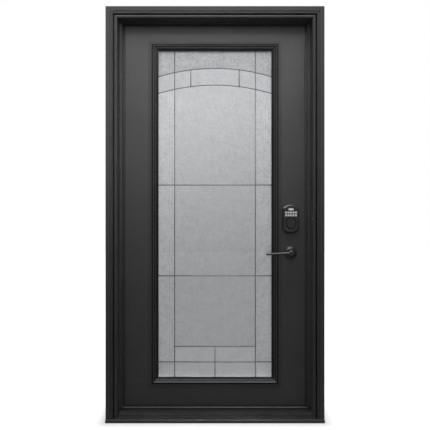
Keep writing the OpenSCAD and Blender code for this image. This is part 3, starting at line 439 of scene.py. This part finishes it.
clear, tree, shader = finish(
    "clear_glass", specular=0.5, Base_Color=(0.965, 0.970, 0.972), Transmission_Weight=1.0, IOR=1.45)
smear = noise(tree, place(tree), 7.0, detail=4.0, rough=0.6)
feed(tree, shader.inputs["Roughness"], spread(tree, smear, 0.4, 0.8, 0.0, 0.03))
see_through = tree.nodes.new("ShaderNodeBsdfTransparent")
feed(tree, see_through.inputs["Color"], (0.93, 0.935, 0.94))
ray = tree.nodes.new("ShaderNodeLightPath").outputs
lamp_ray = math_node(tree, "MAXIMUM", ray["Is Shadow Ray"], ray["Is Diffuse Ray"])
either = tree.nodes.new("ShaderNodeMixShader")
for socket, value in zip(either.inputs, (lamp_ray, shader.outputs["BSDF"], see_through.outputs["BSDF"])):
    feed(tree, socket, value)
feed(tree, tree.nodes["Material Output"].inputs["Surface"], either.outputs["Shader"])
dress(clear, "glass_exterior", "glass_interior")

mill_finish = drawn_metal(
    "mill_finish", deep=(0.42, 0.42, 0.43), pale=(0.62, 0.62, 0.64),
    gloss=0.38, depth=0.00006, specular=0.5, metallic=0.9)
dress(mill_finish, "glass_spacers")

# Patterned glass: rolled sheets with a relief on their outer side, cut to shape for each light of the
# lattice. The border and the top light are granular, the field and the foot are finely mottled, and the arch
# band is smooth. The foot's glass is paler than the field's as painted light, for the light that falls off
# lower down.

glass_low, glass_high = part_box("glass_decorative")
sight_low, sight_high = 0.193, 1.884
border_x = 0.210
band_x = 0.126
arch_radius = 1.020
crown_high = sight_high - 0.089
crown_low = crown_high - 0.087
bar_z = [sight_low + up for up in (0.075, 0.523, 0.995)]
foot_z = sight_low + 0.155
web_half = 0.0008
relief_step = 0.0045
fewest_points = 3
wave_squash = 1.3


def level(z):
    """An edge curve at one height."""
    return lambda x: np.full_like(x, z)


def arch_edge(crown, offset=0.0):
    """An edge curve on a circle through the crown, moved up or down by an offset."""
    return lambda x: crown - arch_radius + np.sqrt(arch_radius ** 2 - x ** 2) + offset


def ripple(x, z, seed, waves, short, long):
    """Height from 0 to 1: plane waves of random heading, length and phase are summed and then squashed."""
    rng = np.random.default_rng(seed)
    heading = rng.uniform(0, 2 * np.pi, waves)
    number = 2 * np.pi / rng.uniform(short, long, waves)
    phase = rng.uniform(0, 2 * np.pi, waves)
    turn = x[..., None] * (number * np.cos(heading)) + z[..., None] * (number * np.sin(heading)) + phase
    return 0.5 + 0.5 * np.tanh(wave_squash * np.cos(turn).sum(-1) / np.sqrt(waves / 2))


def glass_light(x0, x1, low, high, relief, **waves):
    """One light of glass: a grid between two uprights and two edge curves, raised in front and flat behind.

    The front and back grids are closed by a rim that joins their outer rows."""
    middle = np.array([(x0 + x1) / 2])
    tall = float(high(middle)[0] - low(middle)[0])
    cols, rows = (max(fewest_points, int(np.ceil(run / relief_step)) + 1) for run in (x1 - x0, tall))
    u, v = np.meshgrid(np.linspace(0, 1, cols), np.linspace(0, 1, rows))
    x = x0 + (x1 - x0) * u
    z = low(x) * (1 - v) + high(x) * v
    y = glass_low[1] + relief * (1 - ripple(x, z, **waves))
    front = np.stack([x, y, z], -1).reshape(-1, 3)
    back = np.stack([x, np.full_like(x, glass_high[1]), z], -1).reshape(-1, 3)
    at = np.arange(rows * cols).reshape(rows, cols)
    quads = np.stack([at[:-1, :-1], at[:-1, 1:], at[1:, 1:], at[1:, :-1]], -1).reshape(-1, 4)
    ring = np.concatenate([at[0, :-1], at[:-1, -1], at[-1, :0:-1], at[:0:-1, 0]])
    after = np.roll(ring, -1)
    rim = np.stack([ring, ring + rows * cols, after + rows * cols, after], -1)
    return np.concatenate([front, back]), np.concatenate([quads, quads[:, ::-1] + rows * cols, rim])


# The glass is part clear and part milky, so it shows daylight from behind and the lamps in front
grain_share, patch_share = 0.55, 0.7
milky_glass, given, result = group_tree(
    "milky_glass", Deep="Color", Pale="Color", Grain="Float", Patch="Float")
spot = place(milky_glass)
grain = cells(milky_glass, spot, given["Grain"], "SMOOTH_F1")
patch = noise(milky_glass, spot, given["Patch"], detail=3.0, rough=0.6)
patches = math_node(milky_glass, "MULTIPLY", patch, patch_share)
tone = math_node(milky_glass, "MULTIPLY_ADD", grain, grain_share, patches)
put_out(
    milky_glass, result,
    colour=blend_colour(milky_glass, spread(milky_glass, tone, 0.35, 0.85), given["Pale"], given["Deep"]),
    roughness=vary(milky_glass, patch, 0.30, 0.45),
    height=tone)


def patterned(name, deep, pale, grain, patch, depth):
    """A material of milky patterned glass; grain and patch are in lumps to the metre."""
    mat, tree, shader = finish(name, specular=0.25, Transmission_Weight=0.33, IOR=1.45)
    milk = place_group(tree, milky_glass, Deep=deep, Pale=pale, Grain=grain, Patch=patch)
    surface(tree, shader, *milk, depth=depth, strength=0.5)
    return mat


coarse = {"grain": 115.0, "patch": 34.0, "depth": 0.0012}
fine = {"grain": 130.0, "patch": 30.0, "depth": 0.0008}
faint = {"grain": 120.0, "patch": 24.0, "depth": 0.0005}
granular = patterned("granular_glass", (0.443, 0.448, 0.453), (0.663, 0.670, 0.676), **coarse)
dim = patterned("top_glass", (0.27, 0.273, 0.276), (0.48, 0.485, 0.49), **coarse)
mottled = patterned("mottled_glass", (0.449, 0.455, 0.461), (0.596, 0.603, 0.610), **fine)
# Painted light: the foot's glass is paler than the field to make up for the lamps' light falling off towards
# the bottom
foot_glass_painted_light = patterned("foot_glass_painted_light", (0.530, 0.537, 0.543), (0.672, 0.680, 0.688), **fine)
smooth = patterned("band_glass", (0.42, 0.427, 0.435), (0.56, 0.569, 0.58), **faint)

left, right = float(glass_low[0]), float(glass_high[0])
foot, top = level(float(glass_low[2])), level(float(glass_high[2]))
over_low, over_high = arch_edge(crown_low, web_half), arch_edge(crown_high, web_half)
under_low, under_high = arch_edge(crown_low, -web_half), arch_edge(crown_high, -web_half)
above = [level(z + web_half) for z in bar_z]
below = [level(z - web_half) for z in bar_z]
over_foot, under_foot = level(foot_z + web_half), level(foot_z - web_half)
sides = [(left, -border_x - web_half), (border_x + web_half, right)]
inner = (-border_x + web_half, border_x - web_half)
halves = [(inner[0], -web_half), (web_half, inner[1])]
thirds = [(inner[0], -band_x - web_half), (-band_x + web_half, band_x - web_half)]
thirds += [(band_x + web_half, inner[1])]

rises = list(zip([foot, *above], [*below, under_low]))
border_lights = [(*side, *rise) for side in sides for rise in rises]
field_lights = [(*inner, *rise) for rise in [(over_foot, below[1]), *rises[2:]]]
foot_lights = [(*half, *rise) for rise in [rises[0], (above[0], under_foot)] for half in halves]
band_lights = [(*span, over_low, under_high) for span in sides + thirds]
top_lights = [(*span, over_high, top) for span in sides + [inner]]

grain_relief = {"relief": 0.0007, "seed": 3, "waves": 70, "short": 0.009, "long": 0.018}
field_relief = {"relief": 0.0004, "seed": 5, "waves": 60, "short": 0.012, "long": 0.040}
band_relief = {"relief": 0.0003, "seed": 8, "waves": 40, "short": 0.018, "long": 0.060}


def glass_piece(name, lights, relief, mat):
    """All lights of one kind of glass as one piece."""
    return lay_piece(name, [glass_light(*light, **relief) for light in lights], mat, "door")


glass_border = glass_piece("glass_border", border_lights, grain_relief, granular)
glass_piece("glass_field", field_lights, field_relief, mottled)
glass_piece("glass_foot", foot_lights, field_relief, foot_glass_painted_light)
glass_piece("glass_band", band_lights, band_relief, smooth)
glass_piece("glass_top", top_lights, grain_relief, dim)
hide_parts("glass_decorative")

# Came: drawn lead strip with a rounded face, bent round the arches and soldered at every crossing.
# A patina has darkened it; the solder is a little brighter and lumpy.

came_low, came_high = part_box("came")
came_mid = float(came_low[1] + came_high[1]) / 2
came_half_w, came_half_d = 0.0030, 0.0027
came_tip = 0.02
arch_points = 65


def lid(ring):
    """Quads in a row that close a ring of an even number of points, turning the way the ring does."""
    at = np.arange(len(ring) // 2 - 1)
    return np.stack([ring[at], ring[at + 1], ring[-2 - at], ring[-1 - at]], -1)


def tube(at):
    """Quads over a grid of rings, each ring closed on itself, with a lid on the first and the last."""
    step = np.roll(at, -1, axis=1)
    wall = np.stack([at[:-1], at[1:], step[1:], step[:-1]], -1).reshape(-1, 4)
    return np.concatenate([wall, lid(at[0]), lid(at[-1][::-1])])


def swept_bar(path):
    """A bar with an oval section carried along a path of x and z, with its ends drawn to a point.

    The oval lies across the path: half a width along the path's normal and half a depth along Y."""
    run = unit(np.gradient(path, axis=0))
    normal = np.stack([-run[:, 1], run[:, 0]], -1)
    path = np.concatenate([path[:1], path, path[-1:]])
    normal = np.concatenate([normal[:1], normal, normal[-1:]])
    size = np.ones(len(path))
    size[[0, -1]] = came_tip
    turn = np.linspace(0, 2 * np.pi, round_steps, endpoint=False)
    across = size[:, None] * came_half_w * np.cos(turn)
    deep = size[:, None] * came_half_d * np.sin(turn)
    x = path[:, :1] + normal[:, :1] * across
    z = path[:, 1:] + normal[:, 1:] * across
    points = np.stack([x, came_mid + deep, z], -1).reshape(-1, 3)
    return points, tube(np.arange(len(points)).reshape(len(path), round_steps))


def arch_path(crown, x_end):
    """Points on an arch between plus and minus x_end."""
    x = np.linspace(-x_end, x_end, arch_points)
    return np.stack([x, arch_edge(crown)(x)], -1)


def straight(start, end):
    """A path of two points."""
    return np.array([start, end], float)


def arch_z(crown, x):
    """Height of an arch at one x."""
    return float(arch_edge(crown)(np.array(x)))


came_x = float(came_high[0])
came_foot, came_top = float(came_low[2]), float(came_high[2])
paths = [arch_path(crown, came_x) for crown in (crown_high, crown_low)]
paths += [straight((x, came_foot), (x, came_top)) for x in (-border_x, border_x)]
paths += [straight((-came_x, z), (came_x, z)) for z in bar_z]
paths += [straight((-border_x, foot_z), (border_x, foot_z)), straight((0, came_foot), (0, foot_z))]
band_ends = [arch_z(crown, band_x) for crown in (crown_low, crown_high)]
paths += [straight((x, band_ends[0]), (x, band_ends[1])) for x in (-band_x, band_x)]

patina, tree, shader = finish("came_patina", specular=0.3, Metallic=0.25)
spot = place(tree)
bloom = noise(tree, spot, 60.0, detail=5.0, rough=0.65)
surface(
    tree, shader,
    colour=blend_colour(tree, spread(tree, bloom, 0.35, 0.7), (0.022, 0.0225, 0.023), (0.050, 0.051, 0.053)),
    roughness=vary(tree, bloom, 0.38, 0.6),
    height=noise(tree, spot, 700.0, detail=3.0), depth=0.0002, strength=0.5)
came_bars = lay_piece("came_bars", [swept_bar(path) for path in paths], patina, "door")
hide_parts("came")

lump_half_w, lump_half_d = 0.0050, 0.0033
lump_around, lump_over = 18, 11
lump_pole = 0.02
three_dents, two_dents = 0.06, 0.05
turn_by_x, turn_by_z = 40, 30


def solder_joint(x, z):
    """An egg-shaped lump: a sphere's grid of longitude and latitude, flattened along Y.

    Two waves run round its waist and dent it; their phases come from its place, so no two lumps are alike."""
    around = np.linspace(0, 2 * np.pi, lump_around, endpoint=False)
    lon, lat = np.meshgrid(around, np.linspace(lump_pole, np.pi - lump_pole, lump_over))
    waves = three_dents * np.sin(3 * lon + turn_by_x * x) + two_dents * np.cos(2 * lon + turn_by_z * z)
    out = lump_half_w * (1 + waves * np.sin(lat) ** 2) * np.sin(lat)
    deep = came_mid - lump_half_d * np.cos(lat)
    points = np.stack([x + out * np.cos(lon), deep, z + out * np.sin(lon)], -1).reshape(-1, 3)
    return points, tube(np.arange(len(points)).reshape(lat.shape))


crossings = [(x, z) for x in (-border_x, border_x) for z in bar_z + [foot_z]]
crossings += [(0.0, bar_z[0]), (0.0, foot_z)]
for crown in (crown_low, crown_high):
    crossings += [(s * x, arch_z(crown, x)) for s in (-1, 1) for x in (border_x, band_x)]
solder, tree, shader = finish("solder", specular=0.4, Metallic=0.4)
bloom = noise(tree, place(tree), 240.0, detail=4.0, rough=0.6)
surface(
    tree, shader,
    colour=blend_colour(tree, bloom, (0.045, 0.045, 0.047), (0.10, 0.10, 0.105)),
    roughness=vary(tree, bloom, 0.3, 0.5),
    height=bloom, depth=0.0004, strength=0.5)
lay_piece("came_solder", [solder_joint(*crossing) for crossing in crossings], solder, "door")

# Hinges, strikes and lock furniture: steel and cast zinc, powder coated matte black with a fine sandy grain.
# Leaves, strikes and roses are screwed on, with screws of the same coat; the levers sit on their spindle.

powder_coat, given, result = group_tree("powder_coat", Deep="Color", Pale="Color", Gloss="Float")
spot = place(powder_coat)
sand = cells(powder_coat, spot, 1500.0)
rub = noise(powder_coat, spot, 45.0, detail=4.0, rough=0.6)
tone = math_node(powder_coat, "MULTIPLY", rub, spread(powder_coat, sand, 0.1, 0.7, 0.5, 1.3))
polish = vary(powder_coat, rub, 0.06, -0.05)
put_out(
    powder_coat, result,
    colour=blend_colour(powder_coat, tone, given["Deep"], given["Pale"]),
    roughness=math_node(powder_coat, "ADD", given["Gloss"], polish),
    height=sand)


def coated(name, deep, pale, gloss, depth, specular):
    """A material of powder coat on metal."""
    mat, tree, shader = finish(name, specular)
    coat = place_group(tree, powder_coat, Deep=deep, Pale=pale, Gloss=gloss)
    surface(tree, shader, *coat, depth=depth, strength=0.4)
    return mat


hinge_black = coated(
    "hinge_black", deep=(0.016, 0.016, 0.017), pale=(0.038, 0.038, 0.040),
    gloss=0.46, depth=0.00005, specular=0.5)
dress(hinge_black, "hinge_frame_leaves", "hinge_door_leaves", "hinge_pins", "latch_strike", "deadbolt_strike")
dress(hinge_black, "frame_screws", "door_screws")
lock_black = coated(
    "lock_black", deep=(0.018, 0.018, 0.0185), pale=(0.040, 0.040, 0.0415),
    gloss=0.38, depth=0.00003, specular=0.11)
dress(lock_black, "rose_exterior", "rose_interior", "lever_exterior", "lever_interior", "lock_escutcheon")
dress(lock_black, "lock_cover", "key_cylinder", "key_plug", "thumb_turn")

# Lock outline: a near-black ring between the keypad cover and the door, cut to the cover's outline, as painted
# shade round the cover's edge. It stands out a little from the cover all round.

cover_low, cover_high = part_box("lock_escutcheon")
cover_half = float(cover_high[0] - cover_low[0]) / 2
cover_arch = 0.015
cover_radius = (cover_half ** 2 + cover_arch ** 2) / (2 * cover_arch)
cover_points = 25
shade_half_w, shade_half_d = 0.0028, 0.0016


def cover_outline():
    """Points round the cover: the arc over its top from right to left, then the one under its foot.

    Each arc spans the cover's width and drops from its middle by the radius times 1 less the turn's cosine."""
    turn = np.linspace(1, -1, cover_points) * np.arcsin(cover_half / cover_radius)
    drop = cover_radius * (1 - np.cos(turn))
    x = float(cover_low[0]) + cover_half + cover_radius * np.sin(turn)
    over = np.stack([x, float(cover_high[2]) - drop], -1)
    under = np.stack([x, float(cover_low[2]) + drop], -1)
    return np.concatenate([over, under[::-1]])


def shade_ring(line, y):
    """An oval section carried along a closed line, across the mean of the two headings at each point."""
    ahead = unit(np.roll(line, -1, axis=0) - line)
    heading = unit(ahead + np.roll(ahead, 1, axis=0))
    outward = np.stack([heading[:, 1], -heading[:, 0]], -1)
    return oval_loop(line, outward, y, shade_half_w, shade_half_d)


# Painted shade: the near-black ring draws a dark outline round the keypad cover
shade_y = float(cover_high[1]) - shade_half_d / 2
lay_piece("lock_outline_shade", [shade_ring(cover_outline(), shade_y)], shade_rubber, "door")

# Works of the lock: cases, bolts, spindle and blade are plain steel, brushed along their length.
# They lie in bores in the lock stile, and show only at the slab's edge.

brushed = drawn_metal(
    "brushed_steel", deep=(0.36, 0.36, 0.37), pale=(0.62, 0.61, 0.60),
    gloss=0.34, depth=0.00008, specular=0.5, metallic=1.0)
dress(brushed, "latch_case", "deadbolt_case", "lever_spindle", "latch_bolt", "deadbolt", "torque_blade")

# Keys: white translucent caps with a soft light behind them, each set in its own hole in the keypad cover.
# The figures are printed on the caps in black.

figures = "1234567890"
figure_size = 0.0072
print_half = 0.00004

key_cap, tree, shader = finish(
    "key_cap", specular=0.4, Emission_Color=(0.92, 0.96, 1.0), Emission_Strength=0.12)
cloud = noise(tree, place(tree), 500.0, detail=3.0)
surface(
    tree, shader,
    colour=blend_colour(tree, cloud, (0.50, 0.515, 0.53), (0.64, 0.655, 0.67)),
    roughness=vary(tree, cloud, 0.35, 0.5),
    height=cloud, depth=0.00005, strength=0.4)
dress(key_cap, *("key_" + figure for figure in figures), "lock_key")

print_black, tree, shader = finish("print_black", specular=0.2)
cloud = noise(tree, place(tree), 900.0, detail=3.0)
ink = blend_colour(tree, cloud, (0.05, 0.05, 0.052), (0.09, 0.09, 0.093))
feed(tree, shader.inputs["Base Color"], ink)
feed(tree, shader.inputs["Roughness"], vary(tree, cloud, 0.5, 0.65))


def figure_sheet(label, key):
    """A figure as a thin sheet: its flat outline is stood upright and laid on the front of its key."""
    outline = bpy.data.curves.new("figure_outline", "FONT")
    outline.body = label
    outline.align_x = "CENTER"
    outline.align_y = "CENTER"
    outline.size = figure_size
    outline.extrude = print_half
    flat = bpy.data.objects.new("figure_outline", outline)
    bpy.context.scene.collection.objects.link(flat)
    bpy.context.view_layer.update()
    mesh = bpy.data.meshes.new_from_object(flat.evaluated_get(bpy.context.evaluated_depsgraph_get()))
    bpy.data.objects.remove(flat)
    points = np.empty(len(mesh.vertices) * 3, np.float32)
    mesh.vertices.foreach_get("co", points)
    x, up, out = points.reshape(-1, 3).T
    low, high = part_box(key)
    mid_x, mid_z = (float(low[i] + high[i]) / 2 for i in (0, 2))
    shift_x, shift_up = ((line.max() + line.min()) / 2 for line in (x, up))
    stood = np.stack([x - shift_x + mid_x, float(low[1]) - out, up - shift_up + mid_z], -1)
    mesh.vertices.foreach_set("co", stood.astype(np.float32).ravel())
    mesh.update()
    mesh.materials.clear()
    mesh.materials.append(print_black)
    piece = bpy.data.objects.new("figure_" + label, mesh)
    bpy.context.scene.collection.objects.link(piece)
    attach(piece, key)


for figure in figures:
    figure_sheet(figure, "key_" + figure)

# Studio: a pale floor that runs off into white, with a painted contact shadow where its glow drops close to
# the door's foot, and soft lamps: a broad one in front and high, weak ones at the upper left and near the
# floor, one overhead, one behind that lights the glass, and a card overhead that shows only in gloss.

floor_reach = 9.0
contact_reach, painted_shadow_glow = 0.07, 0.50
sky_fill = 0.06


def seen_ray(tree):
    """1 for rays that show the background: from the camera, off gloss and through glass."""
    ray = tree.nodes.new("ShaderNodeLightPath").outputs
    gloss = math_node(tree, "MAXIMUM", ray["Is Glossy Ray"], ray["Is Transmission Ray"])
    return math_node(tree, "MAXIMUM", ray["Is Camera Ray"], gloss)


floor_white, tree, shader = finish(
    "floor_white", specular=0.2, Roughness=0.7,
    Base_Color=(0.36, 0.36, 0.365), Emission_Color=(1.0, 1.0, 1.0))
foot_half = [(b - a) / 2 for a, b in zip(cad_low, cad_high)]
foot_mid = [(a + b) / 2 for a, b in zip(cad_low, cad_high)]
flat = place(tree, (1.0, 1.0, 0.0))
for operation, value in (
    ("SUBTRACT", (foot_mid[0], foot_mid[1], 0.0)),
    ("ABSOLUTE", None),
    ("SUBTRACT", (foot_half[0], foot_half[1], 0.0)),
    ("MAXIMUM", (0.0, 0.0, 0.0)),
    ("LENGTH", None),
):
    step = tree.nodes.new("ShaderNodeVectorMath")
    step.operation = operation
    feed(tree, step.inputs[0], flat)
    if value:
        step.inputs[1].default_value = value
    flat = step.outputs[0]
# Painted shadow: the floor's glow is lowered within 70 mm of the door's footprint
glow = spread(tree, step.outputs[1], 0.0, contact_reach, painted_shadow_glow, 1.0)
feed(tree, shader.inputs["Emission Strength"], math_node(tree, "MULTIPLY", glow, seen_ray(tree)))
floor_mesh = bpy.data.meshes.new("floor")
corners = [(x * floor_reach, y * floor_reach, 0) for x, y in ((-1, -1), (1, -1), (1, 1), (-1, 1))]
floor_mesh.from_pydata(corners, [], [(0, 1, 2, 3)])
floor_mesh.materials.append(floor_white)
floor = bpy.data.objects.new("floor", floor_mesh)
bpy.context.scene.collection.objects.link(floor)

world = bpy.data.worlds.new("studio")
bpy.context.scene.world = world
world.use_nodes = True
tree = world.node_tree
sky = tree.nodes["Background"]
feed(tree, sky.inputs["Color"], (1.0, 1.0, 1.0))
feed(tree, sky.inputs["Strength"], spread(tree, seen_ray(tree), 0.0, 1.0, sky_fill, 1.0))


def soft_box(name, power, size, at, to, beam=180):
    """A flat lamp at one point, turned to another; the beam is its whole angle in degrees."""
    lamp = bpy.data.lights.new(name, "AREA")
    lamp.shape = "RECTANGLE"
    lamp.size, lamp.size_y = size
    lamp.energy = power
    lamp.spread = math.radians(beam)
    obj = bpy.data.objects.new(name, lamp)
    bpy.context.scene.collection.objects.link(obj)
    obj.location = at
    obj.visible_camera = False
    heading = bpy.context.scene.cursor.location.copy()
    heading[:] = [b - a for a, b in zip(at, to)]
    obj.rotation_euler = heading.to_track_quat("-Z", "Y").to_euler()
    return obj


front = soft_box(
    "front_light", power=5.7, size=(2.4, 1.1), at=(-0.40, -2.4, 2.25), to=(-0.70, 0.0, 1.62), beam=37)
soft_box("key_light", power=1.0, size=(1.2, 0.5), at=(-0.7, -2.2, 3.0), to=(0.0, 0.0, 1.65), beam=60)
soft_box("top_light", power=24, size=(2.0, 0.8), at=(0.0, -0.9, 3.3), to=(0.0, -0.5, 0.0))
card = soft_box("gloss_card", power=700, size=(3.4, 2.1), at=(0.3, -1.15, 3.3), to=(0.3, -0.5, 0.8))
low = soft_box("low_light", power=0.95, size=(2.4, 0.6), at=(0.0, -2.5, 0.45), to=(0.0, 0.0, 0.35), beam=60)
back = soft_box("back_light", power=60, size=(2.4, 1.6), at=(0.4, 2.8, 2.4), to=(0.0, 0.0, 1.1))
card.visible_diffuse = False
card.visible_transmission = False
for lamp in (front, low, back):
    lamp.visible_glossy = False
    lamp.visible_transmission = False

# Camera: level, in front of the door at chest height, so that upright edges stay upright in the picture.
# Its lens is shifted a little to set the door at the picture's own height.

picture_px = 430
focal_px = 560
shift_px = -15
sensor_width = 36
camera_away, camera_height = 2.8972, 1.1104

camera = bpy.data.cameras.new("camera")
camera.sensor_width = sensor_width
camera.lens = sensor_width * focal_px / picture_px
camera.shift_y = shift_px / picture_px
camera_object = bpy.data.objects.new("camera", camera)
bpy.context.scene.collection.objects.link(camera_object)
camera_object.location = (0.0, -camera_away, camera_height)
camera_object.rotation_euler = (math.pi / 2, 0, 0)
bpy.context.scene.camera = camera_object
bpy.context.scene.view_settings.view_transform = "Standard"
